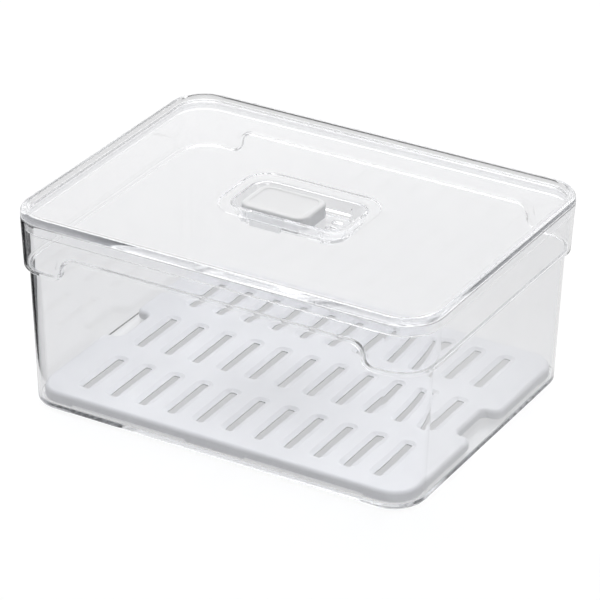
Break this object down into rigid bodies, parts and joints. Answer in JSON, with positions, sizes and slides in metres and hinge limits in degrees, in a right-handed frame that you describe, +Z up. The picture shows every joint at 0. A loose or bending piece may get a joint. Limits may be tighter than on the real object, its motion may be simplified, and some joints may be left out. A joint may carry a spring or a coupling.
{
  "type": "fridge bin",
  "caption": "Clear rectangular fridge bin with a stepped collar, a lift-off lid, a sliding vent in the lid and a slotted drain tray on the floor.",
  "frame": {"origin": "under the middle of the bin, on the plane its feet stand on", "axes": "+X along the length, towards the end of the well that holds the air holes; +Y along the width; +Z up"},
  "size_m": [0.29, 0.2176, 0.132],
  "materials": {
    "clear_plastic": "clear glossy moulded plastic",
    "vent_white": "smooth white plastic, satin gloss",
    "tray_white": "fine matte cool white plastic"
  },
  "bodies": {
    "bin": {"bin": "clear_plastic"},
    "lid": {"lid": "clear_plastic"},
    "vent_slider": {"vent_slider": "vent_white"},
    "drain_tray": {"drain_tray": "tray_white"}
  },
  "joints": [
    {"name": "lid_lift", "type": "slide", "parent": "bin", "child": "lid", "axis": [0, 0, 1], "range_m": [0, 0.15]},
    {"name": "vent_slide", "type": "slide", "parent": "lid", "child": "vent_slider", "axis": [1, 0, 0], "range_m": [0, 0.0224]},
    {"name": "tray_lift", "type": "slide", "parent": "bin", "child": "drain_tray", "axis": [0, 0, 1], "range_m": [0, 0.1]}
  ]
}
